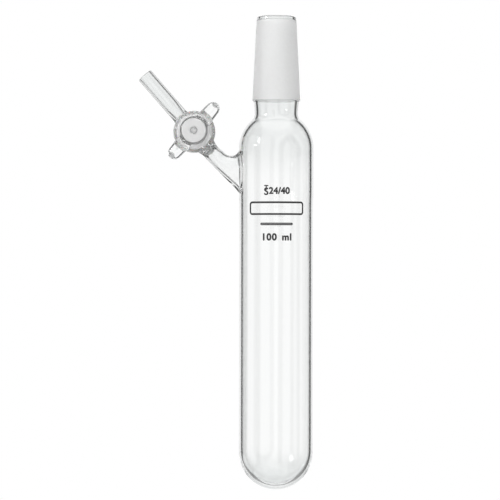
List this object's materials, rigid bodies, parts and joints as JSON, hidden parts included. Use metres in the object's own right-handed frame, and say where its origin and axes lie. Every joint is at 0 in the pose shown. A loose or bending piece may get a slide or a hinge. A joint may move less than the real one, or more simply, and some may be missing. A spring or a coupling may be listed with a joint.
{
  "type": "reaction tube with stopcock side arm",
  "caption": "Round-bottomed glass reaction tube for air-free work, with a tapered ground joint on top and a slanted side arm that a turning glass stopcock opens to a hose end.",
  "frame": {"origin": "on the tube's axis, in the middle of the straight wall below the side arm, where a clamp grips it", "axes": "+Z along the tube's axis towards the ground joint; -X towards the side arm and its stopcock; the stopcock's axis is parallel to Y and its handle faces -Y"},
  "size_m": [0.0876, 0.0562, 0.237],
  "materials": {
    "clear_glass": "clear drawn borosilicate glass, fire-polished edges",
    "ground_glass": "ground and frosted on the cone, clear at the neck and the tip",
    "barrel_glass": "clear moulded glass, finely ground inside the bore",
    "plug_glass": "solid pressed glass, clear handle and finely ground cone",
    "white_ptfe": "white, slightly waxy",
    "pale_silicone": "translucent off-white silicone",
    "stainless": "stamped spring stainless steel"
  },
  "bodies": {
    "vessel": {"reaction_tube": "clear_glass", "ground_joint": "ground_glass", "branch_arm": "clear_glass", "stopcock_barrel": "barrel_glass", "hose_arm": "clear_glass"},
    "plug": {"stopcock_plug": "plug_glass", "thrust_washer": "white_ptfe", "tension_ring": "pale_silicone", "retaining_clip": "stainless"}
  },
  "joints": [
    {"name": "plug_turn", "type": "hinge", "parent": "vessel", "child": "plug", "pos_m": [-0.0407, 0, 0.0959], "axis": [0, -1, 0], "continuous": true}
  ]
}
